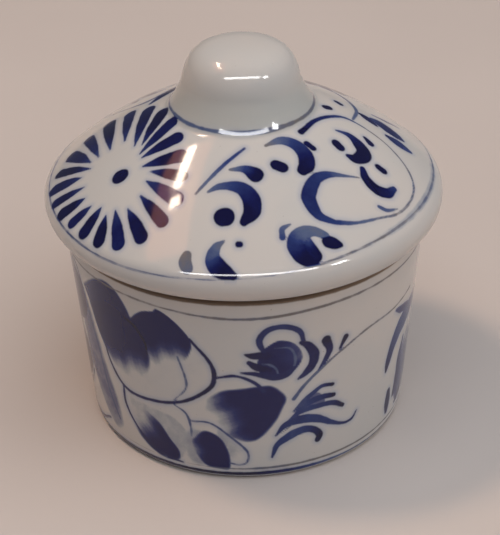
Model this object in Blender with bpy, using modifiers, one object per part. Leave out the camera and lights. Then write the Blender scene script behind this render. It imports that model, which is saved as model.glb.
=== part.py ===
"""Lidded rice bowl: a straight-sided porcelain bowl and its lift-off domed lid.

Two separate fired pieces, both turned about +Z. The origin is the centre of the
foot, on the surface that the bowl stands on. Lengths are in metres.
"""

import math

import bpy

# Driving dimensions

BOWL_HEIGHT = 0.0560        # foot to the flat of the rim
RIM_RADIUS = 0.0456         # outside of the bowl, carried up to its rim
WALL_TAPER = 0.079          # shrinking of the outer radius per unit of drop
WALL_AT_RIM = 0.0036
WALL_AT_FOOT = 0.0044
RIM_OUTER_ROUND = 0.0014
RIM_INNER_ROUND = 0.0010
FOOT_CORNER = 0.0025        # rounding between the wall and the foot
FOOT_WIDTH = 0.0028         # flat ring that the bowl stands on
FOOT_RECESS = 0.0016        # height of the shallow hollow inside that ring
FLOOR_THICKNESS = 0.0036
FLOOR_CORNER = 0.0090       # rounding between the floor and the inner wall

LID_RADIUS = 0.0500         # widest circle of the lid's rounded edge
SEAT_GAP = 0.0003           # clearance between the rim and the lid resting on it
EDGE_ROUND = 0.0052         # radius of the lid's rounded edge
EDGE_SLOPE = math.radians(42.0)     # steepness of the dome where it leaves the edge
DOME_RADIUS = 0.1034        # radius of the dome's profile arc
SHELL_THICKNESS = 0.0042
COLLAR_RADIUS = 0.0414      # outside of the ring that drops into the bowl
COLLAR_WIDTH = 0.0030
COLLAR_DROP = 0.0050        # reach of that ring below the seat
COLLAR_ROUND = 0.0010
COLLAR_BLEND = 0.0050       # rounding between the inside of the ring and the dome

TOTAL_HEIGHT = 0.1006       # foot to the top of the knob
KNOB_FOOT = 0.0188          # distance from the axis where the knob leaves the dome
KNOB_WAIST = (0.0146, 0.0915)       # where its hollow flare turns into its rounded top
KNOB_LEAN = math.radians(12.0)      # lean of its side there
KNOB_WALL = 0.0036
KNOB_TOP_WALL = 0.0040
FOOT_PULL = 0.0008          # a longer pull holds a curve to its end's direction for longer
FLARE_PULL = 0.0024
SIDE_PULL = 0.0068
TOP_PULL = 0.0110

# Mesh detail

TURN_STEPS = 48             # divisible by 4, so the widest points lie on X and Y
ARC_STEP = math.radians(23.0)
DOME_SPANS = 6
FLARE_SPANS = 6
TOP_SPANS = 7
MERGE_DISTANCE = 0.00001

# Heights and centres that follow from the dimensions

SEAT_HEIGHT = BOWL_HEIGHT + SEAT_GAP
EDGE_CENTRE = (LID_RADIUS - EDGE_ROUND, SEAT_HEIGHT + EDGE_ROUND)
DOME_CENTRE = (
    EDGE_CENTRE[0] - (DOME_RADIUS - EDGE_ROUND) * math.sin(EDGE_SLOPE),
    EDGE_CENTRE[1] - (DOME_RADIUS - EDGE_ROUND) * math.cos(EDGE_SLOPE),
)


# Profile helpers; a profile point is (distance from the axis, height)

def arc(centre, radius, start, end, spans=None):
    """Points along an arc, both ends included."""
    spans = spans or max(1, math.ceil(abs(end - start) / ARC_STEP))
    points = []
    for index in range(spans + 1):
        angle = start + (end - start) * index / spans
        points.append((centre[0] + radius * math.cos(angle), centre[1] + radius * math.sin(angle)))
    return points


def dome_arc(outer, inner, offset):
    """The dome's arc, taken inwards by offset, between two distances from the axis."""
    reach = DOME_RADIUS - offset
    start = math.acos((outer - DOME_CENTRE[0]) / reach)
    end = math.acos((inner - DOME_CENTRE[0]) / reach)
    return arc(DOME_CENTRE, reach, start, end, DOME_SPANS)


def dome_to_upright(middle, reach):
    """Centre of a rounding that touches the dome's arc, and its angle from the dome's centre."""
    rise = math.sqrt(reach ** 2 - (middle - DOME_CENTRE[0]) ** 2)
    return (middle, DOME_CENTRE[1] + rise), math.atan2(rise, middle - DOME_CENTRE[0])


def curve(start, start_pull, end_pull, end, spans):
    """Points along a cubic curve, both ends included."""
    points = []
    for index in range(spans + 1):
        t = index / spans
        weights = ((1 - t) ** 3, 3 * t * (1 - t) ** 2, 3 * t ** 2 * (1 - t), t ** 3)
        corners = (start, start_pull, end_pull, end)
        points.append(tuple(sum(w * c[k] for w, c in zip(weights, corners)) for k in (0, 1)))
    return points


def knob_surface(offset, thinner, top):
    """One skin of the knob, from its foot on the dome up its flared side to its top."""
    reach = DOME_RADIUS - offset
    turn = math.acos((KNOB_FOOT - thinner - DOME_CENTRE[0]) / reach)
    foot = (KNOB_FOOT - thinner, DOME_CENTRE[1] + reach * math.sin(turn))
    waist = (KNOB_WAIST[0] - thinner, KNOB_WAIST[1])
    up = (-math.sin(KNOB_LEAN), math.cos(KNOB_LEAN))
    foot_pull = (foot[0] - FOOT_PULL * math.sin(turn), foot[1] + FOOT_PULL * math.cos(turn))
    flare_pull = (waist[0] - FLARE_PULL * up[0], waist[1] - FLARE_PULL * up[1])
    share = (top - waist[1]) / (TOTAL_HEIGHT - waist[1])
    side_pull = (waist[0] + SIDE_PULL * share * up[0], waist[1] + SIDE_PULL * share * up[1])
    top_pull = (TOP_PULL * waist[0] / KNOB_WAIST[0], top)
    flare = curve(foot, foot_pull, flare_pull, waist, FLARE_SPANS)
    return flare + curve(waist, side_pull, top_pull, (0.0, top), TOP_SPANS)[1:]


def outer_wall(height):
    """Outer radius of the bowl's wall."""
    return RIM_RADIUS - WALL_TAPER * (BOWL_HEIGHT - height)


def inner_wall(height):
    """Inner radius of the bowl's wall, which thickens towards the foot."""
    share = height / BOWL_HEIGHT
    return outer_wall(height) - WALL_AT_FOOT - (WALL_AT_RIM - WALL_AT_FOOT) * share


def wall_corner(wall, base, radius):
    """Rounding between a tapering wall and a level floor, from the wall down to the floor."""
    taper = (wall(BOWL_HEIGHT) - wall(0.0)) / BOWL_HEIGHT
    lean = math.atan(taper)
    centre = (wall(base + radius) - radius / math.cos(lean), base + radius)
    return arc(centre, radius, -lean, -math.pi / 2)


# Profiles, each one running down the outer side of its piece

def bowl_profile():
    """Closed section of the bowl, from the floor's middle over the rim to the underside."""
    floor = FOOT_RECESS + FLOOR_THICKNESS
    inner_corner = wall_corner(inner_wall, floor, FLOOR_CORNER)
    outer_corner = wall_corner(outer_wall, 0.0, FOOT_CORNER)
    inner_height = BOWL_HEIGHT - RIM_INNER_ROUND
    outer_height = BOWL_HEIGHT - RIM_OUTER_ROUND
    inner_rim = (inner_wall(inner_height) + RIM_INNER_ROUND, inner_height)
    outer_rim = (outer_wall(outer_height) - RIM_OUTER_ROUND, outer_height)
    ring_inside = outer_corner[-1][0] - FOOT_WIDTH
    points = [(0.0, floor)]
    points += reversed(inner_corner)
    points += arc(inner_rim, RIM_INNER_ROUND, math.pi, math.pi / 2)
    points += arc(outer_rim, RIM_OUTER_ROUND, math.pi / 2, 0.0)
    points += outer_corner
    points += arc((ring_inside - FOOT_RECESS, 0.0), FOOT_RECESS, 0.0, math.pi / 2)
    points.append((0.0, FOOT_RECESS))
    return points


def lid_profile():
    """Closed section of the lid, from the knob's top over the edge to the inside."""
    knob = knob_surface(0.0, 0.0, TOTAL_HEIGHT)
    hollow = knob_surface(SHELL_THICKNESS, KNOB_WALL, TOTAL_HEIGHT - KNOB_TOP_WALL)
    edge = arc(EDGE_CENTRE, EDGE_ROUND, math.pi / 2 - EDGE_SLOPE, -math.pi / 2)
    collar_inside = COLLAR_RADIUS - COLLAR_WIDTH
    collar_foot = SEAT_HEIGHT - COLLAR_DROP + COLLAR_ROUND
    blend, tilt = dome_to_upright(
        collar_inside - COLLAR_BLEND, DOME_RADIUS - SHELL_THICKNESS - COLLAR_BLEND)
    ceiling = arc(blend, COLLAR_BLEND, 0.0, tilt)
    points = list(reversed(knob))
    points += dome_arc(knob[0][0], edge[0][0], 0.0)[1:-1]
    points += edge
    points.append((COLLAR_RADIUS, SEAT_HEIGHT))
    points += arc((COLLAR_RADIUS - COLLAR_ROUND, collar_foot), COLLAR_ROUND, 0.0, -math.pi / 2)
    points += arc((collar_inside + COLLAR_ROUND, collar_foot), COLLAR_ROUND, -math.pi / 2, -math.pi)
    points += ceiling
    points += dome_arc(ceiling[-1][0], hollow[0][0], SHELL_THICKNESS)[1:-1]
    points += hollow
    return points


# Building

def clear_scene():
    """Remove whatever the scene holds."""
    for item in list(bpy.data.objects):
        bpy.data.objects.remove(item, do_unlink=True)


def glaze(name, colour, roughness):
    """A glazed porcelain material."""
    material = bpy.data.materials.new(name)
    material.use_nodes = True
    shader = material.node_tree.nodes["Principled BSDF"]
    shader.inputs["Base Color"].default_value = (*colour, 1.0)
    shader.inputs["Roughness"].default_value = roughness
    shader.inputs["Metallic"].default_value = 0.0
    return material


def turned_piece(name, profile, base, material, collection):
    """Turn a profile about +Z, with the object's origin on the axis at the height `base`."""
    mesh = bpy.data.meshes.new(name)
    points = [(radius, 0.0, height - base) for radius, height in profile]
    edges = [(index, index + 1) for index in range(len(points) - 1)]
    mesh.from_pydata(points, edges, [])
    mesh.materials.append(material)
    piece = bpy.data.objects.new(name, mesh)
    piece.location = (0.0, 0.0, base)
    collection.objects.link(piece)
    screw = piece.modifiers.new("turn", "SCREW")
    screw.axis = "Z"
    screw.angle = 2 * math.pi
    screw.steps = TURN_STEPS
    screw.render_steps = TURN_STEPS
    screw.use_merge_vertices = True
    screw.merge_threshold = MERGE_DISTANCE
    screw.use_smooth_shade = True
    return piece


def main():
    clear_scene()
    collection = bpy.data.collections.new("lidded_rice_bowl")
    bpy.context.scene.collection.children.link(collection)
    bowl_glaze = glaze("bowl_porcelain", (0.60, 0.58, 0.55), 0.12)
    lid_glaze = glaze("lid_porcelain", (0.63, 0.61, 0.58), 0.10)
    turned_piece("bowl", bowl_profile(), 0.0, bowl_glaze, collection)
    turned_piece("lid", lid_profile(), SEAT_HEIGHT, lid_glaze, collection)


main()
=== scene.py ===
"""Looks for the lidded rice bowl: glazed porcelain, painted by hand in cobalt blue.

Each fired piece of the CAD model is stood for by fine turned skins that meet along
circles: three on the bowl and three on the lid. The painting is worked out here as
brush strokes in millimetres on each skin, kept as values on its points, and coloured
by the glaze material. Geometry is in metres, painting is in millimetres.
"""

import math

import bpy
import numpy as np
from mathutils import Matrix, Vector


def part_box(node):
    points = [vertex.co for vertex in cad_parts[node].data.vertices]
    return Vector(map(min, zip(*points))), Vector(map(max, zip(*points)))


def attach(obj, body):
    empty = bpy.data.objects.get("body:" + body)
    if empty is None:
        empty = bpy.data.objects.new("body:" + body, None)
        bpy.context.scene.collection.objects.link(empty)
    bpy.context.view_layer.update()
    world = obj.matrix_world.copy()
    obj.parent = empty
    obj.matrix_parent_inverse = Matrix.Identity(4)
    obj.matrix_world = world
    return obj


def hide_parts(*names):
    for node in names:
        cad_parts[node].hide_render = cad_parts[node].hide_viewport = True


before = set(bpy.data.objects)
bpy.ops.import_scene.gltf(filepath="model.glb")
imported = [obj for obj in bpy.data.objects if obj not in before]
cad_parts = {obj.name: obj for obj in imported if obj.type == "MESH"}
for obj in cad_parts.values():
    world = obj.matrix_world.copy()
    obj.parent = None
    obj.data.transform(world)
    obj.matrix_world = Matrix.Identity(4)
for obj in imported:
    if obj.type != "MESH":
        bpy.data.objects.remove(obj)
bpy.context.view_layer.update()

# Section sizes, as in the CAD model

WALL_TAPER = 0.079          # shrinking of the outer radius per unit of drop
WALL_AT_RIM = 0.0036
WALL_AT_FOOT = 0.0044
RIM_OUTER_ROUND = 0.0014
RIM_INNER_ROUND = 0.0010
FOOT_CORNER = 0.0025
FOOT_WIDTH = 0.0028
FOOT_RECESS = 0.0016
FLOOR_THICKNESS = 0.0036
FLOOR_CORNER = 0.0090
SEAT_GAP = 0.0003           # clearance between the rim and the lid resting on it
EDGE_ROUND = 0.0052
EDGE_SLOPE = math.radians(42.0)
DOME_RADIUS = 0.1034
SHELL_THICKNESS = 0.0042
COLLAR_RADIUS = 0.0414
COLLAR_WIDTH = 0.0030
COLLAR_DROP = 0.0050
COLLAR_ROUND = 0.0010
COLLAR_BLEND = 0.0050
KNOB_FOOT = 0.0188
KNOB_WAIST = (0.0146, 0.0915)       # where its hollow flare turns into its rounded top
KNOB_LEAN = math.radians(12.0)
KNOB_WALL = 0.0036
KNOB_TOP_WALL = 0.0040
FOOT_PULL = 0.0008          # a longer pull holds a curve to its end's direction for longer
FLARE_PULL = 0.0024
SIDE_PULL = 0.0068
TOP_PULL = 0.0110

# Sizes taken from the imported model, and what follows from them

bowl_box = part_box("bowl")
lid_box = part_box("lid")
BOWL_HEIGHT = bowl_box[1].z
RIM_RADIUS = bowl_box[1].x + WALL_TAPER * RIM_OUTER_ROUND
LID_RADIUS = lid_box[1].x
TOTAL_HEIGHT = lid_box[1].z
SEAT_HEIGHT = BOWL_HEIGHT + SEAT_GAP
EDGE_CENTRE = (LID_RADIUS - EDGE_ROUND, SEAT_HEIGHT + EDGE_ROUND)
DOME_CENTRE = (
    EDGE_CENTRE[0] - (DOME_RADIUS - EDGE_ROUND) * math.sin(EDGE_SLOPE),
    EDGE_CENTRE[1] - (DOME_RADIUS - EDGE_ROUND) * math.cos(EDGE_SLOPE),
)

# Mesh detail

ARC_STEP = math.radians(3.0)
PAINT_SPACING = 0.00042     # between rings of points on the painted skins
WELL_RINGS = (0.0, 0.012, 0.022)    # radii of rings on the flat of the bowl's inside
RECESS_RINGS = (0.024, 0.012, 0.0)  # and inside its foot ring
LID_STEPS = 720
WALL_STEPS = 640
PLAIN_STEPS = 192
KNOB_SPANS = 40
DOME_SPANS = 60
TINY = 1e-9                 # keeps a division or a test of a length safe

# Painting, in mm

WALL_REACH = 44.0           # the way round the wall is measured on this radius
HALO = 5.0                  # how far around a stroke its distance is kept
FAR = 9.0                   # depth outside a stroke where there is none near
STROKE_SAMPLES = 10         # points per span of a stroke
OUTLINE_SAMPLES = 8         # points per span of an outline, or of a list of widths
THINNEST = 0.05             # least half width of a stroke
RAGGED = 0.09               # unevenness of a wash's fading end, as a share of its length
PETAL_HALF = 1.9            # half width of a daisy's petal
FIRST_PETAL = 0.95          # share of a petal's step where the first one stands
DAISY_EYE = 2.15            # radius of the dot in its middle
BACK_TURN = 165.0           # turn of the second scroll, at the back of the lid, in degrees
KNOB_LINE = 17.1            # place of the line round the knob
UNDER_RIM_LINE = 51.7       # heights of the lines round the wall
ABOVE_FOOT_LINE = 3.6
FOOT_LINE = 1.9
RIM_GAP_SHADE = (53.8, 54.9)     # heights of the brown painted shade just below the rim, under the lid's edge
LID_GAP_SHADE = (4.2, 2.6)       # distances from the end of the lid's top skin where its edge gets the same painted shade


# Profiles; a profile point is (distance from the axis, height)

def arc(centre, radius, start, end, spans=None):
    """Points along an arc, both ends included."""
    spans = spans or max(1, math.ceil(abs(end - start) / ARC_STEP))
    turns = [start + (end - start) * index / spans for index in range(spans + 1)]
    return [(centre[0] + radius * math.cos(a), centre[1] + radius * math.sin(a)) for a in turns]


def dome_arc(outer, inner, offset):
    """The dome's arc, taken inwards by offset, between two distances from the axis."""
    reach = DOME_RADIUS - offset
    start = math.acos((outer - DOME_CENTRE[0]) / reach)
    end = math.acos((inner - DOME_CENTRE[0]) / reach)
    return arc(DOME_CENTRE, reach, start, end, DOME_SPANS)


def dome_to_upright(middle, reach):
    """Centre of a rounding that touches the dome's arc, and its angle from the dome's centre."""
    rise = math.sqrt(reach ** 2 - (middle - DOME_CENTRE[0]) ** 2)
    return (middle, DOME_CENTRE[1] + rise), math.atan2(rise, middle - DOME_CENTRE[0])


def curve(start, start_pull, end_pull, end, spans):
    """Points along a cubic curve, both ends included."""
    points = []
    for index in range(spans + 1):
        t = index / spans
        weights = ((1 - t) ** 3, 3 * t * (1 - t) ** 2, 3 * t ** 2 * (1 - t), t ** 3)
        corners = (start, start_pull, end_pull, end)
        points.append(tuple(sum(w * c[k] for w, c in zip(weights, corners)) for k in (0, 1)))
    return points


def knob_surface(offset, thinner, top):
    """One skin of the knob, from its foot on the dome up its flared side to its top."""
    reach = DOME_RADIUS - offset
    turn = math.acos((KNOB_FOOT - thinner - DOME_CENTRE[0]) / reach)
    foot = (KNOB_FOOT - thinner, DOME_CENTRE[1] + reach * math.sin(turn))
    waist = (KNOB_WAIST[0] - thinner, KNOB_WAIST[1])
    up = (-math.sin(KNOB_LEAN), math.cos(KNOB_LEAN))
    foot_pull = (foot[0] - FOOT_PULL * math.sin(turn), foot[1] + FOOT_PULL * math.cos(turn))
    flare_pull = (waist[0] - FLARE_PULL * up[0], waist[1] - FLARE_PULL * up[1])
    share = (top - waist[1]) / (TOTAL_HEIGHT - waist[1])
    side_pull = (waist[0] + SIDE_PULL * share * up[0], waist[1] + SIDE_PULL * share * up[1])
    top_pull = (TOP_PULL * waist[0] / KNOB_WAIST[0], top)
    flare = curve(foot, foot_pull, flare_pull, waist, KNOB_SPANS)
    return flare + curve(waist, side_pull, top_pull, (0.0, top), KNOB_SPANS)[1:]


def outer_wall(height):
    """Outer radius of the bowl's wall."""
    return RIM_RADIUS - WALL_TAPER * (BOWL_HEIGHT - height)


def inner_wall(height):
    """Inner radius of the bowl's wall, which thickens towards the foot."""
    share = height / BOWL_HEIGHT
    return outer_wall(height) - WALL_AT_FOOT - (WALL_AT_RIM - WALL_AT_FOOT) * share


def wall_corner(wall, base, radius):
    """Rounding between a tapering wall and a level floor, from the wall down to the floor."""
    lean = math.atan((wall(BOWL_HEIGHT) - wall(0.0)) / BOWL_HEIGHT)
    centre = (wall(base + radius) - radius / math.cos(lean), base + radius)
    return arc(centre, radius, -lean, -math.pi / 2)


def even_steps(points, spacing):
    """Points at even steps along a smooth profile, both ends included."""
    line = np.array(points)
    along = np.concatenate([[0.0], np.cumsum(np.hypot(*np.diff(line, axis=0).T))])
    even = np.linspace(0.0, along[-1], round(along[-1] / spacing) + 1)
    return np.column_stack([np.interp(even, along, line[:, axis]) for axis in (0, 1)])


def bowl_profiles():
    """The bowl's inside from the floor's middle to the rim, its outside, and its underside."""
    floor = FOOT_RECESS + FLOOR_THICKNESS
    inner_height = BOWL_HEIGHT - RIM_INNER_ROUND
    outer_height = BOWL_HEIGHT - RIM_OUTER_ROUND
    inner_rim = (inner_wall(inner_height) + RIM_INNER_ROUND, inner_height)
    outer_rim = (outer_wall(outer_height) - RIM_OUTER_ROUND, outer_height)
    inside = [(radius, floor) for radius in WELL_RINGS]
    inside += reversed(wall_corner(inner_wall, floor, FLOOR_CORNER))
    inside += arc(inner_rim, RIM_INNER_ROUND, math.pi, math.pi / 2)
    rim = arc(outer_rim, RIM_OUTER_ROUND, math.pi / 2, 0.0)
    inside.append(rim[0])
    corner = wall_corner(outer_wall, 0.0, FOOT_CORNER)
    outside = even_steps(rim + corner, PAINT_SPACING)
    ring_inside = corner[-1][0] - FOOT_WIDTH
    underside = [corner[-1]]
    underside += arc((ring_inside - FOOT_RECESS, 0.0), FOOT_RECESS, 0.0, math.pi / 2)
    underside += [(radius, FOOT_RECESS) for radius in RECESS_RINGS]
    return inside, outside, underside


def lid_profiles():
    """The knob's cap from the top down, the lid's painted top, and its underside."""
    knob = knob_surface(0.0, 0.0, TOTAL_HEIGHT)
    hollow = knob_surface(SHELL_THICKNESS, KNOB_WALL, TOTAL_HEIGHT - KNOB_TOP_WALL)
    edge = arc(EDGE_CENTRE, EDGE_ROUND, math.pi / 2 - EDGE_SLOPE, -math.pi / 2)
    flare = knob[KNOB_SPANS:0:-1]
    top = even_steps(flare + dome_arc(knob[0][0], edge[0][0], 0.0) + edge[1:], PAINT_SPACING)
    collar_inside = COLLAR_RADIUS - COLLAR_WIDTH
    collar_foot = SEAT_HEIGHT - COLLAR_DROP + COLLAR_ROUND
    blend, tilt = dome_to_upright(
        collar_inside - COLLAR_BLEND, DOME_RADIUS - SHELL_THICKNESS - COLLAR_BLEND)
    ceiling = arc(blend, COLLAR_BLEND, 0.0, tilt)
    under = [edge[-1], (COLLAR_RADIUS, SEAT_HEIGHT)]
    under += arc((COLLAR_RADIUS - COLLAR_ROUND, collar_foot), COLLAR_ROUND, 0.0, -math.pi / 2)
    under += arc((collar_inside + COLLAR_ROUND, collar_foot), COLLAR_ROUND, -math.pi / 2, -math.pi)
    under += ceiling
    under += dome_arc(ceiling[-1][0], hollow[0][0], SHELL_THICKNESS)[1:-1]
    under += hollow
    return knob[:KNOB_SPANS - 1:-1], top, under


# Meshes

def turned_skin(name, profile, steps):
    """A smooth skin made by turning a profile once about +Z, and its points' angles and rows.

    The angle starts at the front (-Y) and grows towards +X.
    """
    profile = np.array(profile)
    on_axis = profile[:, 0] < TINY
    rings = profile[~on_axis]
    angles = np.arange(steps) / steps * 2 * math.pi
    turn = np.tile(angles, len(rings))
    radius = np.repeat(rings[:, 0], steps)
    height = np.repeat(rings[:, 1], steps)
    points = np.column_stack([radius * np.sin(turn), -radius * np.cos(turn), height])
    column = np.arange(steps)
    beside = (column + 1) % steps
    faces = []
    for row in range(len(rings) - 1):
        a = row * steps
        b = a + steps
        faces += np.column_stack([a + column, b + column, b + beside, a + beside]).tolist()
    for end, ring in ((0, 0), (-1, len(rings) - 1)):
        if on_axis[end]:
            pole = len(points)
            points = np.vstack([points, [0.0, 0.0, profile[end, 1]]])
            near = ring * steps
            fan = [near + column, near + beside, np.full(steps, pole)]
            order = (2, 0, 1) if end == 0 else (0, 2, 1)
            faces += np.column_stack([fan[k] for k in order]).tolist()
    mesh = bpy.data.meshes.new(name)
    mesh.from_pydata(points.tolist(), [], faces)
    mesh.shade_smooth()
    piece = bpy.data.objects.new(name, mesh)
    bpy.context.scene.collection.objects.link(piece)
    return piece, angles, rings


def keep_values(piece, **values):
    """Store one number per point under each name."""
    for name, numbers in values.items():
        layer = piece.data.attributes.new(name, "FLOAT", "POINT")
        layer.data.foreach_set("value", numbers.astype(np.float32))


# Brush strokes

def through(values, samples=STROKE_SAMPLES):
    """A smooth curve through rows of values, sampled evenly between them."""
    rows = np.array(values, float)
    if rows.ndim == 1:
        rows = rows[:, None]
    if len(rows) == 1:
        return rows
    ends = np.vstack([2 * rows[0] - rows[1], rows, 2 * rows[-1] - rows[-2]])
    parts = []
    share = np.arange(samples)[:, None] / samples
    for k in range(len(rows) - 1):
        p0, p1, p2, p3 = ends[k:k + 4]
        parts.append(0.5 * (
            2 * p1 + (p2 - p0) * share + (2 * p0 - 5 * p1 + 4 * p2 - p3) * share ** 2
            + (3 * p1 - p0 - 3 * p2 + p3) * share ** 3))
    parts.append(rows[-1:])
    return np.vstack(parts)


def spread(values, count):
    """A short list of numbers stretched smoothly over a number of samples."""
    if len(values) == 1:
        return np.full(count, float(values[0]))
    line = through(values, OUTLINE_SAMPLES)[:, 0]
    return np.interp(np.linspace(0, 1, count), np.linspace(0, 1, len(line)), line)


def step_up(low, high, value):
    """0 below low, 1 above high, and smooth between."""
    share = np.clip((value - low) / (high - low), 0.0, 1.0)
    return share * share * (3 - 2 * share)


def streaks(place):
    """Uneven ridges of height about 1 along one direction, for bristle marks."""
    return (np.sin(place * 0.57 + 0.7) + 0.55 * np.sin(place * 1.37 + 2.1)
            + 0.15 * np.sin(place * 5.1 + 4.0)) / 1.7


class Painting:
    """Marks gathered on a skin's points.

    Strokes are placed by across and up, which wrap round after a period. turn is the
    angle round the axis and level the distance along the profile, or the height.
    ink is how deep a point lies inside the nearest stroke, in millimetres, and is
    negative outside. tone is how dark that stroke is there. wash is watery colour.
    """

    def __init__(self, across, up, turn, level, period=None):
        self.across = across
        self.up = up
        self.turn = turn
        self.level = level
        self.period = period
        self.ink = np.full(len(across), -FAR)
        self.tone = np.full(len(across), 0.6)
        self.wash = np.zeros(len(across))

    def near(self, line, margin):
        """The points around a line, as their numbers and places, seen without the wrap."""
        middle = (line[:, 0].min() + line[:, 0].max()) / 2
        across = self.across
        if self.period:
            across = middle + (across - middle + self.period / 2) % self.period - self.period / 2
        low, high = line.min(0) - margin, line.max(0) + margin
        inside = (across > low[0]) & (across < high[0]) & (self.up > low[1]) & (self.up < high[1])
        index = np.flatnonzero(inside)
        return index, np.column_stack([across[index], self.up[index]])

    def brush(self, points, widths, tones):
        """One stroke: its middle line, its half widths and its tones from start to end."""
        line = through(points)
        half = np.maximum(spread(widths, len(line)), THINNEST)
        tone = spread(tones, len(line))
        index, place = self.near(line, half.max() + HALO)
        best = np.full(len(index), -FAR)
        shade = np.zeros(len(index))
        for k in range(len(line) - 1):
            run = line[k + 1] - line[k]
            away = place - line[k]
            share = np.clip(away @ run / max(run @ run, TINY), 0.0, 1.0)
            off = away - share[:, None] * run
            wide = half[k] + (half[k + 1] - half[k]) * share
            depth = wide - np.hypot(off[:, 0], off[:, 1])
            colour = tone[k] + (tone[k + 1] - tone[k]) * share
            better = depth > best
            best[better] = depth[better]
            shade[better] = colour[better]
        self.lay(index, best, shade)

    def lay(self, index, depth, shade):
        """Put a stroke's depth and tone down where it is the nearest one."""
        better = depth > self.ink[index]
        index, depth, shade = index[better], depth[better], shade[better]
        self.ink[index] = depth
        self.tone[index] = shade

    def outline(self, points, margin):
        """Points near a closed smooth outline, and how deep inside it each one lies."""
        closed = through(list(points) + [points[0]], OUTLINE_SAMPLES)
        index, place = self.near(closed, margin)
        distance = np.full(len(index), 1e9)
        inside = np.zeros(len(index), bool)
        for a, b in zip(closed[:-1], closed[1:]):
            run = b - a
            away = place - a
            share = np.clip(away @ run / max(run @ run, TINY), 0.0, 1.0)
            off = away - share[:, None] * run
            distance = np.minimum(distance, np.hypot(off[:, 0], off[:, 1]))
            crosses = (a[1] > place[:, 1]) != (b[1] > place[:, 1])
            rise = run[1] if abs(run[1]) > TINY else TINY
            inside ^= crosses & (place[:, 0] < a[0] + (place[:, 1] - a[1]) / rise * run[0])
        return index, place, np.where(inside, distance, -distance)

    def soak(self, points, start, end, dark, pale, soft):
        """Watery colour inside an outline, dark at start and fading to pale by end."""
        index, place, depth = self.outline(points, soft + 0.5)
        run = np.array(end, float) - np.array(start, float)
        length = np.hypot(*run)
        away = place - np.array(start, float)
        along = away @ run / length ** 2
        beside = (away[:, 1] * run[0] - away[:, 0] * run[1]) / length
        fade = 1 - step_up(0.35, 1.0, along + RAGGED * streaks(beside))
        colour = (pale + (dark - pale) * fade) * step_up(-soft, soft, depth)
        self.wash[index] = np.maximum(self.wash[index], colour)

    def ring(self, place, half, tone, wander=0.12, swell=(0.0, 0.0)):
        """A line drawn once round at a level, wandering as a hand does.

        swell is an angle and how much the line swells round it. The place, half width
        and tone may change with the angle.
        """
        turn = self.turn
        sway = wander * (np.sin(turn + 0.4) + 0.6 * np.sin(3 * turn + 1.9) + 0.4 * np.sin(7 * turn))
        press = 1 + 0.25 * np.sin(2 * turn + 1.0) + 0.15 * np.sin(5 * turn + 0.3)
        off = (turn - swell[0] + math.pi) % (2 * math.pi) - math.pi
        press = press + swell[1] * np.exp(-(off / 0.55) ** 2)
        depth = half * press - np.abs(self.level - place - sway)
        shade = tone + 0.06 * np.sin(4 * turn + 2.0)
        self.lay(np.arange(len(depth)), np.maximum(depth, -HALO), shade)


# Placing motifs

def spun(points, degrees):
    """Lid points turned about the knob."""
    turn = math.radians(degrees)
    c, s = math.cos(turn), math.sin(turn)
    return [(c * x - s * y, s * x + c * y) for x, y in points]


def moved(points, along):
    """Wall points shifted round the bowl."""
    return [(x + along, y) for x, y in points]


# The lid's painting, seen from above; the front is at negative Y. A stroke is its middle
# line, half widths and tones, and a shorter list of these is stretched along it.

# The group of commas at the front
FRONT_STROKES = [
    ([(-8.5, -33.0), (-6.0, -32.0), (-3.0, -32.0), (0.0, -33.0), (2.0, -36.0), (2.0, -39.0),
      (0.0, -41.5)],
     [0.4, 0.9, 1.3, 1.8, 2.3, 2.1, 1.1], [0.15, 0.35, 0.5, 0.7, 0.9, 1.0, 1.0]),
    ([(-5.0, -40.0), (-4.5, -40.0)], [2.4], [1.0]),
    ([(-3.0, -27.5), (0.5, -27.5), (3.0, -29.0)], [0.4, 1.1, 2.1], [0.1, 0.5, 1.0]),
    ([(0.5, -21.5), (-4.5, -26.0), (-11.5, -33.0)], [0.35, 0.55, 0.4], [0.6, 0.45, 0.1]),
    ([(5.5, -20.5), (9.0, -18.5), (12.5, -19.0), (15.0, -21.5), (15.5, -24.5), (14.5, -26.5)],
     [0.4, 1.2, 1.7, 2.1, 2.1, 1.5], [0.1, 0.3, 0.55, 0.8, 0.95, 1.0]),
    ([(15.5, -18.0), (17.0, -19.0)], [0.9], [0.95]),
    ([(8.0, -26.0), (9.5, -26.5)], [1.5], [1.0]),
    ([(-5.0, -46.0), (-7.0, -47.5), (-8.0, -50.0), (-6.5, -52.5), (-3.0, -54.5)],
     [0.3, 1.2, 1.9, 2.3, 1.1], [0.2, 0.25, 0.45, 0.95, 1.0]),
    ([(-1.5, -47.0), (-1.0, -47.0)], [0.8], [0.95]),
    ([(20.5, -43.0), (17.0, -42.5), (14.0, -44.0), (13.0, -46.5), (15.0, -49.0), (18.0, -50.0)],
     [1.0, 1.4, 2.0, 2.5, 2.5, 1.0], [0.25, 0.2, 0.25, 0.65, 1.0, 1.0]),
    ([(21.0, -44.5), (22.5, -44.5), (24.5, -44.5)], [1.6, 1.6, 0.7], [1.0]),
    ([(16.0, -45.0), (16.5, -47.0), (18.0, -48.5)], [0.9, 1.9, 1.7], [0.35, 0.85, 1.0]),
    ([(11.5, -41.5), (9.5, -43.0), (9.5, -45.0)], [0.3, 0.7, 0.9], [0.15, 0.3, 0.45]),
    ([(-14.5, -48.5), (-15.0, -50.0), (-14.5, -51.5)], [1.3, 1.7, 1.5], [0.05, 0.1, 0.15]),
]

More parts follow.
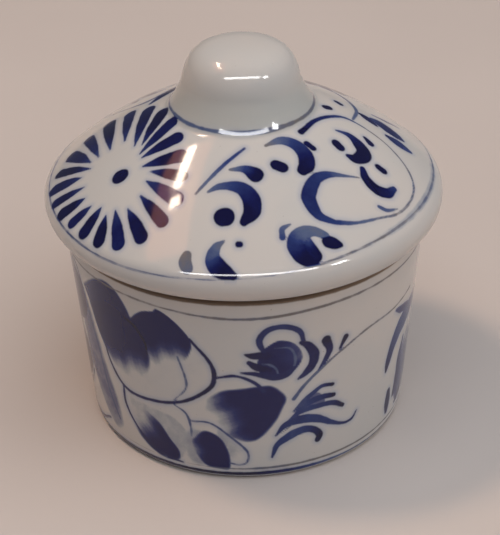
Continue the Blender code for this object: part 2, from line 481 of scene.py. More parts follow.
# The scroll and the commas inside it
SCROLL_STROKES = [
    ([(14.0, -14.5), (15.0, -13.0), (17.5, -9.0), (21.5, -5.0), (26.0, -2.5), (32.0, -3.5),
      (37.5, -6.0), (42.0, -10.0), (44.5, -14.5), (45.0, -19.0), (43.5, -24.5), (40.0, -30.0),
      (34.5, -34.0), (28.5, -37.5), (23.0, -39.0)],
     [0.9, 0.8, 0.65, 0.6, 0.5, 0.32, 0.32, 0.34, 0.36, 0.36, 0.34, 0.34, 0.36, 0.5, 0.7],
     [1.0, 0.95, 0.8, 0.7, 0.4, 0.1, 0.1, 0.1, 0.15, 0.15, 0.1, 0.1, 0.15, 0.3, 0.5]),
    ([(23.0, -39.0), (19.5, -38.5), (17.5, -37.0), (16.0, -34.0), (16.5, -31.0), (18.0, -28.0),
      (21.0, -26.0), (25.0, -25.0), (29.0, -24.0)],
     [0.7, 1.1, 1.6, 1.9, 1.85, 1.5, 1.0, 0.5, 0.25],
     [0.5, 0.6, 0.7, 0.75, 0.7, 0.65, 0.5, 0.3, 0.1]),
    ([(23.0, -10.0), (26.5, -10.0), (29.0, -12.0), (30.5, -15.0), (28.5, -18.0), (26.0, -18.0)],
     [0.3, 1.0, 1.8, 2.2, 1.6, 0.6], [0.4, 0.75, 0.95, 1.0, 1.0, 0.9]),
    ([(23.0, -15.0), (24.0, -16.0)], [1.3], [1.0]),
    ([(31.0, -8.0), (32.5, -9.5)], [0.6, 1.1], [0.95]),
    ([(30.0, -20.5), (31.0, -23.5), (34.0, -25.5), (37.0, -25.0), (39.0, -22.5)],
     [0.8, 1.4, 1.7, 1.5, 0.8], [0.85, 1.0, 1.0, 0.9, 0.6]),
    ([(34.5, -17.5), (36.0, -18.0)], [1.1], [1.0]),
    ([(34.5, -30.5), (37.0, -30.5), (40.0, -28.5)], [0.5, 0.6, 0.2], [0.35, 0.3, 0.15]),
]

# Leaves seen along the far side of the lid
LEAF_STROKES = [
    ([(30.5, 4.5), (32.5, 3.5), (35.0, 2.0)], [0.6, 1.5, 0.6], [0.9]),
    ([(34.0, 5.0), (37.0, 4.5), (40.0, 3.5), (43.0, 2.5)], [0.8, 2.3, 2.4, 0.8], [0.5, 0.8, 0.6]),
    ([(38.0, -1.0), (41.5, -1.5), (45.0, -2.0)], [0.8, 1.9, 0.8], [0.8, 0.65, 0.5]),
    ([(34.5, 9.0), (38.5, 10.0), (43.0, 12.0)], [0.4, 0.7, 0.3], [0.3]),
    ([(20.5, -1.0), (21.5, -0.5)], [1.0], [1.0]),
    ([(24.0, 5.5), (25.0, 5.0)], [0.9], [0.9]),
    ([(20.0, 17.0), (25.0, 14.5), (28.5, 9.5), (29.5, 4.5), (28.0, -1.5)],
     [0.35, 0.6, 0.65, 0.6, 0.4], [0.25]),
    ([(-17.5, 10.5), (-20.0, 8.5), (-23.0, 6.0)], [1.5, 1.5, 0.5], [0.95, 0.9, 0.6]),
]


def daisy(paint, centre, facing, petals, size, stretch):
    """A ring of teardrop petals round a blank middle with a dot in it.

    The petals reach further out towards facing, in degrees, and a little less away from it.
    The small sines make each petal a little different, as a hand would.
    """
    turns = np.linspace(0, 2 * math.pi, 721)
    lean = turns - math.radians(facing)
    reach = size * (1 + stretch * np.cos(2 * lean) + 0.9 * stretch * np.cos(lean))
    tips = np.column_stack([np.cos(turns), np.sin(turns)]) * reach[:, None]
    along = np.concatenate([[0.0], np.cumsum(np.hypot(*np.diff(tips, axis=0).T))])
    for k in range(petals):
        where = (k + FIRST_PETAL) / petals % 1.0 * along[-1]
        tip = np.array([np.interp(where, along, tips[:, axis]) for axis in (0, 1)])
        length = np.hypot(*tip)
        way = math.atan2(tip[1], tip[0])
        root = tip * (0.46 - 0.08 * math.cos(way - 0.5) + 0.04 * math.sin(3.7 * k))
        root = root + 0.05 * math.sin(5.3 * k + 1.0) * np.array([-tip[1], tip[0]])
        outer = tip * (1 - PETAL_HALF / length)
        wide = PETAL_HALF + 0.2 * math.sin(2.9 * k + 0.5)
        points = [np.array(centre) + p for p in (root, (root + outer) / 2, outer)]
        dark = 0.92 + 0.08 * math.sin(4.1 * k)
        paint.brush(points, [0.25, wide * 0.78, wide], [0.55, dark, dark])
    paint.brush([(centre[0] - 0.2, centre[1]), (centre[0] + 0.2, centre[1])], [DAISY_EYE], [1.0])


def paint_lid(angles, rings):
    """The lid's painting on its top skin."""
    along = np.concatenate([[0.0], np.cumsum(np.hypot(*np.diff(rings, axis=0).T))])
    foot = along[np.argmin(np.abs(rings[:, 0] - KNOB_FOOT))]
    level = np.repeat(1000 * (KNOB_FOOT + along - foot), len(angles))
    turn = np.tile(angles, len(rings))
    paint = Painting(level * np.sin(turn), -level * np.cos(turn), turn, level)
    for points, widths, tones in FRONT_STROKES + SCROLL_STROKES + LEAF_STROKES:
        paint.brush(points, widths, tones)
    daisy(paint, centre=(-30.9, -20.9), facing=110.0, petals=21, size=22.1, stretch=0.188)
    for points, widths, tones in SCROLL_STROKES:
        paint.brush(spun(points, BACK_TURN), widths, tones)
    daisy(paint, centre=(17.9, 30.9), facing=30.0, petals=20, size=16.4, stretch=0.03)

    # the outer ring: off centre, fainter at the front and bluer at the left
    off_round = 53.2 + 1.8 * np.cos(turn) - 0.6 * np.sin(turn) - 1.4 * np.sin(2 * turn)
    faint = np.exp(-((turn + math.pi) % (2 * math.pi) - math.pi) ** 2 / 0.25)
    blue = 0.13 + 0.25 * np.clip(-np.sin(turn), 0, 1)
    paint.ring(off_round, 0.32 - 0.22 * faint, blue, 0.2)
    paint.ring(KNOB_LINE, 0.5, 0.18 - 0.1 * np.sin(turn), 0.08)

    # it is broad and watery at the right
    watery = 0.27 * np.exp(-((turn - 1.2) / 0.62) ** 2)
    paint.wash = np.maximum(paint.wash, watery * step_up(1.5, 0.5, np.abs(level - off_round)))
    return paint


# The wall's painting; the first number runs round from the front, the second is the height

# Strokes, listed as for the lid
WALL_STROKES = [
    # the big flower's lines
    ([(-13.5, 43.5), (-9.0, 37.5), (-8.0, 33.0), (-9.5, 29.0), (-16.0, 24.0), (-24.0, 21.5),
      (-33.5, 21.0), (-38.5, 25.0), (-41.0, 31.5), (-40.5, 38.5)],
     [0.4, 0.55, 0.64, 0.6, 0.52, 0.5, 0.5, 0.45, 0.4, 0.3], [0.85, 0.9, 0.95, 0.85, 0.8, 0.7]),
    ([(-17.0, 37.5), (-15.5, 32.0), (-15.5, 28.0), (-19.0, 23.5)], [0.3, 0.35, 0.3, 0.25], [0.3]),
    ([(-31.5, 44.5), (-28.5, 43.0), (-26.0, 39.5), (-25.5, 35.5)], [0.3, 0.55, 0.5, 0.3], [1.0]),
    ([(-35.5, 21.5), (-35.5, 16.0), (-33.0, 11.0), (-28.0, 6.0), (-22.5, 4.0), (-18.0, 3.5)],
     [0.4, 0.5, 0.45, 0.45, 0.4, 0.3], [0.8]),
    ([(-19.0, 22.0), (-16.0, 20.0), (-15.0, 16.0), (-15.0, 13.0)], [0.25, 0.35, 0.35, 0.2], [0.3]),
    ([(-14.5, 18.0), (-9.5, 18.0), (-4.5, 14.0), (-0.5, 9.5), (-0.5, 6.0), (-2.5, 5.0),
      (-5.0, 5.5)], [0.25, 0.32, 0.36, 0.38, 0.36, 0.3, 0.2], [0.4]),
    ([(-8.0, 32.5), (-3.0, 33.5), (1.5, 31.5), (4.0, 28.5)], [0.4, 0.45, 0.5, 0.5], [0.8]),
    ([(-48.5, 38.5), (-45.0, 28.0), (-43.0, 17.0), (-39.5, 8.5)], [0.3, 0.4, 0.4, 0.3], [0.35]),
    # upper spray
    ([(4.0, 40.5), (3.0, 44.0), (5.0, 47.0), (9.0, 47.5), (12.5, 45.5), (13.5, 42.5)],
     [0.6, 0.9, 0.85, 0.8, 0.75, 0.6], [0.8, 0.65, 0.7]),
    ([(-0.5, 40.0), (1.5, 39.5), (4.0, 39.5), (6.0, 39.0)], [0.25, 1.0, 1.2, 0.9], [0.95, 0.85]),
    ([(0.5, 37.5), (2.5, 36.0), (5.5, 35.0)], [0.7, 1.1, 0.6], [0.9]),
    ([(-1.5, 34.5), (2.0, 34.0), (6.5, 32.5), (9.5, 33.0), (11.5, 35.0)],
     [0.3, 0.7, 0.95, 0.9, 0.5], [0.8, 0.75]),
    ([(13.0, 42.0), (15.0, 40.5), (16.5, 37.5), (16.0, 34.5), (14.5, 32.5), (12.5, 31.0)],
     [0.6, 1.15, 1.35, 1.2, 0.9, 0.3], [0.9, 0.75]),
    ([(19.5, 41.0), (20.5, 38.0), (19.5, 35.0), (18.0, 32.5)],
     [1.3, 1.0, 0.75, 0.4], [1.0, 0.8, 0.7]),
    ([(25.0, 40.0), (23.5, 37.0)], [0.9, 0.4], [1.0, 0.9]),
    ([(3.5, 37.0), (5.5, 36.5), (7.0, 35.0), (7.5, 33.0)], [0.15, 0.32, 0.3, 0.12], [0.22]),
    ([(6.5, 41.5), (10.0, 41.0), (11.5, 38.5), (11.5, 35.5), (10.0, 33.5)],
     [0.12, 0.26, 0.34, 0.3, 0.12], [0.24]),
    ([(11.5, 25.0), (14.5, 29.0), (19.0, 33.0), (24.5, 36.5), (32.5, 39.5), (42.0, 40.0),
      (52.0, 41.0)], [0.62, 0.52, 0.44, 0.38, 0.34, 0.3, 0.3], [0.35, 0.15, 0.05, 0.0]),
    # lower spray
    ([(22.0, 26.5), (19.0, 27.0), (16.5, 25.5), (14.0, 23.5), (11.5, 21.0)],
     [0.6, 0.6, 0.7, 0.7, 0.3], [1.0, 0.6, 0.5, 0.4]),
    ([(22.5, 23.0), (19.5, 23.5), (16.0, 23.0), (12.5, 21.0)],
     [0.75, 0.9, 1.0, 0.5], [1.0, 0.6, 0.45]),
    ([(25.5, 18.5), (22.5, 20.5), (18.0, 21.0), (13.5, 20.5), (10.5, 18.5)],
     [0.7, 0.85, 0.8, 0.8, 0.4], [1.0, 0.7, 0.5, 0.45]),
    ([(7.0, 14.0), (9.5, 17.0), (13.5, 18.0), (18.0, 17.0), (22.0, 14.5), (26.0, 12.5),
      (29.0, 12.5), (30.5, 14.5)],
     [0.3, 1.0, 1.4, 1.25, 0.8, 0.5, 0.45, 0.3], [0.7, 0.6, 0.55, 0.6, 0.75, 0.8]),
    ([(6.0, 7.0), (7.5, 11.0), (11.0, 13.5), (14.5, 14.5), (17.5, 13.5), (19.0, 11.5),
      (18.5, 10.0)],
     [0.4, 0.9, 1.3, 1.2, 1.0, 1.1, 0.9], [0.7, 0.55, 0.5, 0.55, 0.8, 1.0, 1.0]),
    ([(8.5, 14.5), (12.0, 17.0), (17.0, 16.5)], [0.12, 0.3, 0.12], [0.1]),
    ([(8.5, 11.0), (12.0, 13.0), (14.5, 13.0)], [0.12, 0.28, 0.12], [0.1]),
    # the spray that reaches round the side
    ([(59.0, 35.0), (53.5, 34.0), (49.5, 32.5), (46.5, 30.5), (44.0, 27.0), (42.5, 23.0),
      (42.0, 20.5)],
     [1.4, 2.8, 3.1, 2.5, 1.8, 1.3, 0.5], [0.5, 0.35, 0.45, 0.6, 0.85, 0.95]),
    ([(44.0, 38.5), (47.5, 37.0), (51.0, 36.5)], [0.5, 1.2, 0.8], [0.6]),
    ([(51.5, 26.0), (50.0, 21.0), (50.0, 16.5), (49.5, 12.0), (48.5, 9.0)],
     [0.5, 1.2, 1.4, 1.3, 0.6], [0.6, 0.8, 0.9]),
    ([(60.5, 26.0), (59.5, 19.0), (58.5, 14.0), (56.5, 9.5), (53.5, 7.0), (51.0, 5.5)],
     [0.8, 1.7, 1.9, 1.8, 1.4, 0.6], [0.5, 0.7, 0.9]),
    ([(45.0, 12.5), (45.0, 9.0), (45.0, 6.0)], [1.0, 1.5, 0.8], [0.9]),
]

# Outline, dark end, pale end, darkest, palest and softness of edge of each watery petal
WALL_WASHES = [
    ([(-48.5, 46.0), (-42.5, 50.5), (-37.5, 52.5), (-33.5, 51.5), (-30.0, 46.5), (-29.5, 40.0),
      (-36.0, 36.0), (-43.5, 39.0)],
     (-34.0, 42.0), (-50.0, 47.0), 0.84, 0.55, 0.6),
    ([(-46.0, 42.0), (-40.0, 46.0), (-31.0, 46.0), (-27.5, 42.5), (-26.0, 39.0), (-25.0, 34.5),
      (-26.5, 29.0), (-31.0, 25.5), (-37.5, 26.5), (-42.5, 33.0)],
     (-33.0, 41.0), (-30.5, 26.5), 0.97, 0.12, 0.8),
    ([(-30.5, 43.5), (-28.0, 46.5), (-25.5, 48.5), (-22.5, 49.5), (-21.5, 50.5), (-19.0, 49.5),
      (-16.0, 47.0), (-13.5, 43.5), (-13.5, 40.0), (-16.0, 35.5), (-20.5, 33.5), (-25.5, 32.5),
      (-26.5, 37.0), (-29.0, 42.0)],
     (-22.5, 47.0), (-19.5, 33.5), 1.0, 0.06, 0.35),
    ([(-40.5, 34.0), (-30.0, 36.0), (-20.0, 38.0), (-13.0, 42.0), (-8.5, 36.0), (-8.5, 31.0),
      (-16.0, 24.0), (-24.0, 21.5), (-33.0, 21.5), (-38.5, 25.0), (-40.5, 29.0)],
     (-28.0, 36.0), (-18.0, 20.0), 0.09, 0.05, 0.5),
    ([(-34.5, 17.5), (-29.0, 17.5), (-24.5, 15.0), (-21.5, 10.5), (-19.0, 7.0), (-19.5, 4.0),
      (-24.0, 3.5), (-29.5, 6.0), (-34.0, 11.0)],
     (-20.0, 4.0), (-31.5, 15.5), 1.0, 0.14, 0.6),
    ([(-34.0, 19.5), (-26.0, 19.0), (-19.0, 17.5), (-15.5, 12.0), (-17.5, 6.0), (-20.0, 4.0),
      (-26.0, 5.5), (-32.5, 11.0)],
     (-26.0, 10.0), (-26.0, 24.0), 0.2, 0.12, 0.6),
    ([(-15.0, 12.0), (-12.0, 15.0), (-9.5, 15.0), (-7.0, 13.0), (-5.5, 9.5), (-5.0, 6.0),
      (-5.5, 3.5), (-8.0, 3.5), (-11.0, 4.0), (-13.0, 5.5), (-15.0, 9.0)],
     (-7.0, 9.0), (-16.5, 8.5), 1.0, 0.25, 0.6),
    ([(-18.5, 9.0), (-17.0, 13.5), (-13.0, 15.5), (-10.0, 12.0), (-11.0, 5.0), (-15.0, 4.0)],
     (-12.0, 9.0), (-19.0, 9.0), 0.3, 0.12, 1.2),
    ([(-8.0, 17.0), (-4.0, 13.5), (-0.5, 9.0), (-1.0, 6.5), (-4.5, 6.0), (-5.5, 10.0),
      (-8.0, 14.0)],
     (-6.0, 13.0), (-1.0, 7.0), 0.22, 0.08, 0.6),
    ([(-10.5, 25.5), (-6.5, 28.5), (-1.0, 29.5), (2.0, 30.0), (5.5, 30.0), (8.0, 28.0),
      (9.5, 25.5), (8.5, 22.5), (7.0, 19.0), (4.5, 15.5), (1.5, 13.0), (-2.5, 13.0),
      (-7.5, 16.0), (-11.0, 20.5)],
     (4.0, 25.5), (-10.0, 19.5), 0.95, 0.10, 0.7),
    ([(4.0, 41.5), (7.5, 43.5), (11.5, 42.0), (13.5, 37.5), (11.0, 33.5), (7.0, 32.5),
      (3.5, 33.5), (2.5, 37.5)],
     (3.0, 36.0), (15.0, 39.0), 0.88, 0.55, 0.3),
    ([(13.5, 23.5), (17.0, 25.5), (19.0, 24.5), (20.0, 21.5), (16.0, 21.0), (12.0, 20.0)],
     (19.0, 24.0), (12.0, 20.0), 0.5, 0.44, 0.3),
    ([(55.5, 27.5), (51.5, 24.0), (50.0, 17.0), (49.0, 10.0), (51.5, 6.0), (56.0, 8.5),
      (58.5, 14.0), (59.5, 22.0)],
     (52.0, 8.0), (56.0, 28.0), 0.62, 0.3, 0.8),
    ([(-51.5, 46.5), (-48.5, 44.0), (-45.5, 35.0), (-42.5, 25.0), (-39.0, 14.0), (-38.5, 7.0),
      (-42.5, 5.0), (-47.5, 10.0), (-52.0, 19.0), (-54.0, 30.0), (-54.0, 40.0)],
     (-43.0, 24.0), (-54.0, 8.0), 0.46, 0.28, 1.1),
    # the flower's far half
    ([(-66.0, 48.0), (-58.0, 50.0), (-51.0, 46.0), (-49.0, 38.0), (-55.0, 32.0), (-64.0, 34.0),
      (-69.0, 41.0)],
     (-53.0, 45.0), (-68.0, 36.0), 1.0, 0.2, 0.6),
    ([(-70.0, 27.0), (-62.0, 31.0), (-55.0, 27.0), (-53.0, 18.0), (-60.0, 12.0), (-68.0, 15.0)],
     (-56.0, 17.0), (-70.0, 27.0), 0.95, 0.15, 0.7),
]

FAR_FLOWER_STROKES = [
    ([(-49.5, 44.0), (-53.0, 50.0), (-62.0, 50.5), (-69.5, 44.0), (-67.0, 35.0), (-57.0, 31.5),
      (-51.0, 35.5)], [0.4, 0.5, 0.6, 0.55, 0.5, 0.5, 0.3], [0.85]),
    ([(-60.0, 31.5), (-69.5, 29.0), (-72.0, 20.0), (-66.0, 12.5), (-57.0, 11.5), (-52.5, 17.0)],
     [0.4, 0.5, 0.6, 0.5, 0.5, 0.3], [0.8]),
    ([(-66.0, 12.0), (-62.0, 5.0), (-52.0, 3.0), (-45.0, 6.0)], [0.4, 0.5, 0.5, 0.3], [0.7]),
]


def paint_wall(angles, rings):
    """The wall's painting: one group of flower and sprays, drawn twice round."""
    turn = np.tile((angles + math.pi) % (2 * math.pi) - math.pi, len(rings))
    level = np.repeat(1000 * rings[:, 1], len(angles))
    period = 2 * math.pi * WALL_REACH
    paint = Painting(turn * WALL_REACH, level, turn, level, period)
    for along in (0.0, period / 2):
        for points, start, end, dark, pale, soft in WALL_WASHES:
            shift = moved([start, end], along)
            paint.soak(moved(points, along), shift[0], shift[1], dark, pale, soft)
        for points, widths, tones in WALL_STROKES + FAR_FLOWER_STROKES:
            paint.brush(moved(points, along), widths, tones)
    sag = 1.3 * np.exp(-(paint.across / 17.0) ** 2)
    to_left = step_up(0.9, -0.1, np.sin(turn))
    paint.ring(UNDER_RIM_LINE - sag, 0.32, 0.02)
    paint.ring(ABOVE_FOOT_LINE, 0.28 * step_up(-0.5, 0.1, np.sin(turn)), 0.05, 0.08)
    paint.ring(FOOT_LINE, 0.36 + 0.12 * to_left, 0.08 + 0.87 * to_left, 0.06, (-0.6, 0.3))
    return paint


# Materials

class Nodes:
    """A short way to add nodes to one material."""

    def __init__(self, name):
        self.material = bpy.data.materials.new(name)
        self.material.use_nodes = True
        self.tree = self.material.node_tree
        self.shader = self.tree.nodes["Principled BSDF"]

    def add(self, kind, **settings):
        """A node of a kind, with its own settings."""
        node = self.tree.nodes.new("ShaderNode" + kind)
        for key, value in settings.items():
            setattr(node, key, value)
        return node

    def put(self, socket, value):
        """Set a socket to a number or colour, or link an output to it."""
        if isinstance(value, bpy.types.NodeSocket):
            self.tree.links.new(value, socket)
        else:
            socket.default_value = value

    def math(self, operation, *values):
        """The result of a sum on numbers or outputs."""
        node = self.add("Math", operation=operation)
        for socket, value in zip(node.inputs, values):
            self.put(socket, value)
        return node.outputs[0]

    def ramp(self, value, low, high, start=0.0, end=1.0):
        """A smooth step of a value from low to high."""
        node = self.add("MapRange", interpolation_type="SMOOTHSTEP")
        limits = {"From Min": low, "From Max": high, "To Min": start, "To Max": end}
        for name, number in limits.items():
            node.inputs[name].default_value = number
        self.put(node.inputs["Value"], value)
        return node.outputs["Result"]

    def mix(self, share, first, second):
        """Two colours mixed by a share."""
        node = self.add("Mix", data_type="RGBA")
        self.put(node.inputs[0], share)
        self.put(node.inputs[6], first)
        self.put(node.inputs[7], second)
        return node.outputs[2]

    def colours(self, value, *stops):
        """A colour ramp through (place, colour) stops."""
        node = self.add("ValToRGB")
        ramp = node.color_ramp
        while len(ramp.elements) < len(stops):
            ramp.elements.new(0.5)
        for element, (place, colour) in zip(ramp.elements, stops):
            element.position = place
            element.color = colour
        self.put(node.inputs[0], value)
        return node.outputs[0]

    def noise(self, scale, detail=2.0, rough=0.5):
        """Cloudy noise fixed to the piece, about 0.5; scale is in features per metre."""
        node = self.add("TexNoise")
        node.inputs["Scale"].default_value = scale
        node.inputs["Detail"].default_value = detail
        node.inputs["Roughness"].default_value = rough
        self.put(node.inputs["Vector"], self.add("TexCoord").outputs["Object"])
        return node.outputs[0]

    def value(self, name):
        """A number kept on the skin's points."""
        return self.add("Attribute", attribute_name=name).outputs["Fac"]

    def height(self):
        """Height above the foot at rest, in metres."""
        place = self.add("TexCoord").outputs["Object"]
        split = self.add("SeparateXYZ")
        self.put(split.inputs[0], place)
        return split.outputs[2]


GLAZE = (0.580, 0.548, 0.524, 1.0)
GLAZE_COOL = (0.542, 0.532, 0.522, 1.0)
# greyer painted shade round the knob's foot
KNOB_SHADE_GREY = (0.360, 0.385, 0.370, 1.0)
BLEED = (0.330, 0.370, 0.480, 1.0)
# brown painted shade in the gap where the lid meets the bowl, partly bare clay
GAP_SHADE_BROWN = (0.160, 0.108, 0.072, 1.0)
LINE_GREY = (0.165, 0.150, 0.150, 1.0)
COBALT_PALE = (0.090, 0.120, 0.225, 1.0)
COBALT_MID = (0.022, 0.040, 0.160, 1.0)
COBALT_DARK = (0.004, 0.007, 0.078, 1.0)
COBALT_BLACK = (0.003, 0.003, 0.040, 1.0)
WASH_STOPS = (
    (0.0, (0.50, 0.49, 0.49, 1.0)),
    (0.15, (0.36, 0.37, 0.40, 1.0)),
    (0.45, (0.110, 0.122, 0.225, 1.0)),
    (0.75, (0.018, 0.028, 0.140, 1.0)),
    (1.0, (0.004, 0.006, 0.075, 1.0)),
)
PIGMENT_STOPS = (
    (0.0, LINE_GREY),
    (0.22, COBALT_PALE),
    (0.5, COBALT_MID),
    (0.85, COBALT_DARK),
    (1.0, COBALT_BLACK),
)
SPECK_BROWN = (0.16, 0.12, 0.09, 1.0)
BARE = (0.330, 0.250, 0.190, 1.0)
BARE_PALE = (0.47, 0.38, 0.30, 1.0)
FLOOR_TINTS = ((0.560, 0.498, 0.470, 1.0), (0.585, 0.523, 0.495, 1.0))

# Heights and roughness of the glazes; heights are in metres
KNOB_SHADE_LOW = (0.0834, 0.0850)         # where painted shade begins, at the knob's foot
KNOB_SHADE_HIGH = (0.0875, 0.0965)        # where it fades out again
BOWL_ROUGH = 0.10
LID_ROUGH = 0.08
BARE_ROUGH = 0.14
BARE_FOOT = (-0.001, 0.0009)        # unglazed between these heights
BARE_SEAT = (SEAT_HEIGHT - 0.0020, SEAT_HEIGHT + 0.0004)
BARE_FADE = 0.0002                  # height over which bare clay gives way to glaze
GLAZE_IOR = 1.47


def glaze_colour(nodes):
    """Off-white glaze that drifts a little between warm and cool, with a few tiny specks.

    Round the knob's foot it is greyer and darker: painted shade.
    """
    drift = nodes.ramp(nodes.noise(38.0, 3.0), 0.35, 0.68)
    base = nodes.mix(drift, GLAZE, GLAZE_COOL)
    # painted shade: greyer and darker round the knob's foot
    up = nodes.height()
    shade_begins = nodes.ramp(up, *KNOB_SHADE_LOW)
    shade_fades = nodes.ramp(up, *KNOB_SHADE_HIGH, 0.5, 0.0)
    base = nodes.mix(nodes.math("MULTIPLY", shade_begins, shade_fades), base, KNOB_SHADE_GREY)
    speck = nodes.ramp(nodes.noise(1500.0, 1.0), 0.79, 0.83, 0.0, 0.45)
    return nodes.mix(speck, base, SPECK_BROWN)


def glaze_surface(nodes, rough):
    """Glossy glaze: uneven gloss, and the faint dimpling of a fired surface."""
    gloss = nodes.ramp(nodes.noise(220.0, 3.0), 0.3, 0.7, rough * 0.8, rough * 1.25)
    nodes.put(nodes.shader.inputs["Roughness"], gloss)
    bump = nodes.add("Bump")
    bump.inputs["Strength"].default_value = 0.02
    bump.inputs["Distance"].default_value = 0.0006
    broad = nodes.noise(150.0, 2.0)
    fine = nodes.math("MULTIPLY", nodes.noise(900.0), 0.1)
    nodes.put(bump.inputs["Height"], nodes.math("ADD", broad, fine))
    nodes.put(nodes.shader.inputs["Normal"], bump.outputs[0])
    nodes.shader.inputs["IOR"].default_value = GLAZE_IOR


def painted_glaze(name, rough):
    """Porcelain with the painting kept on its points: washes, then bleeding, then strokes."""
    nodes = Nodes(name)
    base = glaze_colour(nodes)
    ink = nodes.value("ink")
    edge = nodes.math("ADD", nodes.noise(420.0, 3.0), -0.5)
    ink = nodes.math("ADD", ink, nodes.math("MULTIPLY", edge, 0.42))
    cloud = nodes.math("ADD", nodes.noise(260.0, 4.0, rough=0.65), -0.5)

    kept = nodes.value("wash")
    wash = nodes.math("ADD", kept, nodes.math("MULTIPLY", cloud, 0.28))
    wash = nodes.math("MULTIPLY", nodes.ramp(wash, 0.0, 1.0), nodes.ramp(kept, 0.0, 0.10))
    soaked = nodes.colours(wash, *WASH_STOPS)
    colour = nodes.mix(nodes.ramp(wash, 0.0, 0.12), base, soaked)

    bleed = nodes.math("POWER", nodes.ramp(ink, -2.1, 0.2), 2.0)
    bleed = nodes.math("MULTIPLY", bleed, nodes.ramp(nodes.value("tone"), 0.05, 0.6, 0.1, 0.6))
    bleed = nodes.math("MULTIPLY", bleed, nodes.ramp(wash, 0.05, 0.4, 1.0, 0.0))
    colour = nodes.mix(bleed, colour, BLEED)

    tone = nodes.math("ADD", nodes.value("tone"), nodes.math("MULTIPLY", cloud, 0.40))
    pigment = nodes.colours(tone, *PIGMENT_STOPS)
    mark = nodes.math("MULTIPLY", nodes.ramp(ink, -0.22, 0.26), 0.995)
    colour = nodes.mix(mark, colour, pigment)

    # painted shade in the gap between lid and bowl, brown as partly bare clay
    seam = nodes.math("ADD", nodes.value("seam"), nodes.math("MULTIPLY", cloud, 0.5))
    seam = nodes.ramp(seam, 0.2, 0.9)
    nodes.put(nodes.shader.inputs["Base Color"], nodes.mix(seam, colour, GAP_SHADE_BROWN))
    glaze_surface(nodes, rough)
    return nodes.material


def plain_glaze(name, rough):
    """Porcelain without painting."""
    nodes = Nodes(name)
    nodes.put(nodes.shader.inputs["Base Color"], glaze_colour(nodes))
    glaze_surface(nodes, rough)
    return nodes.material


def part_bare(name, rough, low, high):
    """Glazed porcelain that is left bare, brown and matt between two heights."""
    nodes = Nodes(name)
    up = nodes.math("ADD", nodes.height(), nodes.math("MULTIPLY", nodes.noise(300.0), 0.0004))
    above = nodes.ramp(up, low - BARE_FADE, low)
    below = nodes.ramp(up, high, high + BARE_FADE, 1.0, 0.0)
    bare = nodes.math("MULTIPLY", above, below)
    grain = nodes.ramp(nodes.noise(2200.0, 3.0), 0.3, 0.7)
    clay = nodes.mix(grain, BARE, BARE_PALE)
    nodes.put(nodes.shader.inputs["Base Color"], nodes.mix(bare, glaze_colour(nodes), clay))
    matt = nodes.math("ADD", nodes.math("MULTIPLY", bare, 0.5), rough)
    nodes.put(nodes.shader.inputs["Roughness"], matt)
    bump = nodes.add("Bump")
    bump.inputs["Strength"].default_value = 0.15
    bump.inputs["Distance"].default_value = 0.0002
    nodes.put(bump.inputs["Height"], nodes.noise(1800.0, 3.0))
    nodes.put(nodes.shader.inputs["Normal"], bump.outputs[0])
    return nodes.material


def dress(piece, body, node, material):
    """Give a skin its material, hang it on the body it moves with, and hide the CAD part it stands
    for.
    """
    piece.data.materials.append(material)
    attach(piece, body)
    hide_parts(node)


# Light and camera; lengths are in metres

FLOOR_REACH = 2
AIM = Vector((0.0, 0.0, 0.05))          # what every light faces
SKY_COLOURS = ((0.115, 0.120, 0.135, 1.0), (0.10, 0.10, 0.105, 1.0))
PANEL_WHITE = (0.93, 0.97, 1.0)
WINDOW_WHITE = (1.0, 0.99, 0.98)
FILL_WARM = (1.0, 0.72, 0.50)
LAMP_WARM = (1.0, 0.70, 0.48)
BULB_WARM = (1.0, 0.80, 0.62)
SHADE_RED = (1.0, 0.37, 0.18)
LAMP_AXIS = (0.12, 0.33, -0.04)         # the way the lamp's reflection runs
LENS = 110.3                            # in mm, on a sensor 36 mm wide
CAMERA_TARGET = Vector((0.0012, 0.0, 0.0371))
CAMERA_DISTANCE = 0.4265
CAMERA_RISE = math.radians(31.4)
CAMERA_ROLL = math.radians(-1.2)


# The scene

def make_bowl():
    """The bowl's three skins."""
    inside, outside, underside = bowl_profiles()
    plain = plain_glaze("bowl_plain_glaze", BOWL_ROUGH)
    wall, angles, rings = turned_skin("bowl_outside", outside, WALL_STEPS)
    paint = paint_wall(angles, rings)
    # painted shade just below the rim, under the lid's overhanging edge
    seam = step_up(*RIM_GAP_SHADE, paint.level)
    keep_values(wall, ink=paint.ink, tone=paint.tone, wash=paint.wash, seam=seam)
    dress(wall, "bowl", "bowl", painted_glaze("bowl_painted_glaze", BOWL_ROUGH))
    well = turned_skin("bowl_inside", inside, PLAIN_STEPS)[0]
    dress(well, "bowl", "bowl", plain)
    foot = turned_skin("bowl_underside", underside, PLAIN_STEPS)[0]
    bare_foot = part_bare("bowl_bare_foot", BARE_ROUGH, *BARE_FOOT)
    dress(foot, "bowl", "bowl", bare_foot)


def make_lid():
    """The lid's three skins."""
    knob, top, under = lid_profiles()
    dome, angles, rings = turned_skin("lid_top", top, LID_STEPS)
    paint = paint_lid(angles, rings)
    end = paint.level.max()
    # painted shade on the lowest part of the lid's edge, over the gap
    seam = step_up(end - LID_GAP_SHADE[0], end - LID_GAP_SHADE[1], paint.level)
    keep_values(dome, ink=paint.ink, tone=paint.tone, wash=paint.wash, seam=seam)
    dress(dome, "lid", "lid", painted_glaze("lid_painted_glaze", LID_ROUGH))
    grip = turned_skin("lid_knob", knob, PLAIN_STEPS)[0]
    dress(grip, "lid", "lid", plain_glaze("lid_plain_glaze", LID_ROUGH))
    below = turned_skin("lid_underside", under, PLAIN_STEPS)[0]
    bare_seat = part_bare("lid_bare_seat", BARE_ROUGH, *BARE_SEAT)
    dress(below, "lid", "lid", bare_seat)


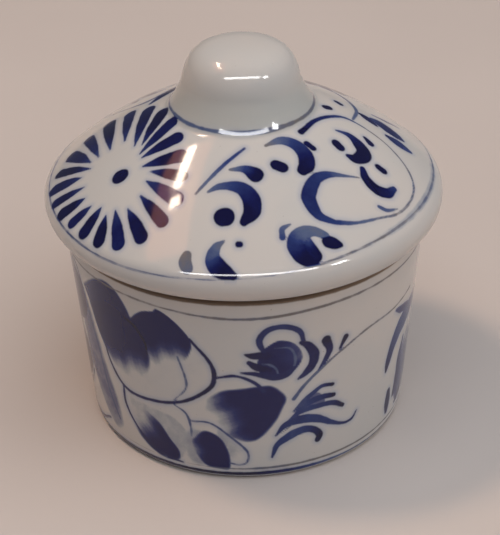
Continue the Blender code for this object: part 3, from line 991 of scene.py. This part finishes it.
def make_floor():
    """A plain pale floor."""
    mesh = bpy.data.meshes.new("floor")
    far = FLOOR_REACH
    corners = [(-far, -far, 0), (far, -far, 0), (far, far, 0), (-far, far, 0)]
    mesh.from_pydata(corners, [], [(0, 1, 2, 3)])
    floor = bpy.data.objects.new("floor", mesh)
    bpy.context.scene.collection.objects.link(floor)
    nodes = Nodes("floor_pale")
    tint = nodes.ramp(nodes.noise(6.0, 2.0), 0.3, 0.7)
    nodes.put(nodes.shader.inputs["Base Color"], nodes.mix(tint, *FLOOR_TINTS))
    nodes.shader.inputs["Roughness"].default_value = 0.9
    nodes.shader.inputs["Specular IOR Level"].default_value = 0.2
    mesh.materials.append(nodes.material)


def area_light(name, place, size, power, colour, glossy=True, diffuse=True, long_axis=None):
    """A rectangular light at a place, facing the object.

    Its first side lies along long_axis as far as that allows, or else is level.
    """
    data = bpy.data.lights.new(name, "AREA")
    data.shape = "RECTANGLE"
    data.size, data.size_y = size
    data.energy = power
    data.color = colour
    light = bpy.data.objects.new(name, data)
    back = Vector(place) - AIM
    back.normalize()
    side = Vector(long_axis) if long_axis else Vector((0.0, 0.0, 1.0)).cross(back)
    side = (side - back * side.dot(back)).normalized()
    up = back.cross(side)
    turn = Matrix((side, up, back)).transposed()
    light.matrix_world = Matrix.Translation(place) @ turn.to_4x4()
    light.visible_glossy = glossy
    light.visible_diffuse = diffuse
    bpy.context.scene.collection.objects.link(light)


def make_sky():
    """A faint light from all sides, a little cooler low down."""
    world = bpy.data.worlds.new("studio")
    world.use_nodes = True
    tree = world.node_tree
    place = tree.nodes.new("ShaderNodeTexCoord")
    split = tree.nodes.new("ShaderNodeSeparateXYZ")
    sky = tree.nodes.new("ShaderNodeValToRGB")
    tree.links.new(place.outputs["Generated"], split.inputs[0])
    tree.links.new(split.outputs[2], sky.inputs[0])
    tree.links.new(sky.outputs[0], tree.nodes["Background"].inputs[0])
    for element, colour in zip(sky.color_ramp.elements, SKY_COLOURS):
        element.color = colour
    bpy.context.scene.world = world


def make_lights():
    """Soft light on everything, and five lights that only the glaze reflects."""
    area_light("panel", (0.6, -0.7, 2.1), (3.2, 3.2), 50.0, PANEL_WHITE, glossy=False)
    area_light("warm_fill", (1.15, -0.25, 0.45), (0.8, 0.6), 1.5, FILL_WARM, glossy=False)
    area_light("lamp", (-0.59, 0.12, 1.36), (0.24, 0.24), 7.0, LAMP_WARM, glossy=False)
    area_light("front_strip", (0.05, -1.05, 1.22), (1.92, 0.22), 24.0, WINDOW_WHITE, diffuse=False)
    area_light("side_window", (0.875, -0.575, 0.79), (0.18, 0.15), 2.9, WINDOW_WHITE, diffuse=False)
    area_light("lamp_bar", (-0.573, 0.348, 1.33), (0.36, 0.08), 4.2, BULB_WARM,
               diffuse=False, long_axis=LAMP_AXIS)
    area_light("lamp_spot", (-0.650, 0.060, 1.35), (0.09, 0.09), 1.2, BULB_WARM, diffuse=False)
    area_light("lamp_shade", (-0.660, 0.090, 1.38), (1.0, 0.42), 3.3, SHADE_RED,
               diffuse=False, long_axis=LAMP_AXIS)


def make_camera():
    """The camera at the photo's angle, a touch rolled, as it was held."""
    data = bpy.data.cameras.new("camera")
    data.sensor_width = 36.0
    data.lens = LENS
    camera = bpy.data.objects.new("camera", data)
    away = Vector((0.0, -math.cos(CAMERA_RISE), math.sin(CAMERA_RISE)))
    camera.location = CAMERA_TARGET + CAMERA_DISTANCE * away
    tilt = Matrix.Rotation(math.pi / 2 - CAMERA_RISE, 4, "X")
    roll = Matrix.Rotation(CAMERA_ROLL, 4, "Z")
    camera.rotation_euler = (tilt @ roll).to_euler()
    bpy.context.scene.collection.objects.link(camera)
    bpy.context.scene.camera = camera


make_camera()
make_sky()
make_lights()
make_floor()
make_bowl()
make_lid()
bpy.context.scene.view_settings.view_transform = "Standard"
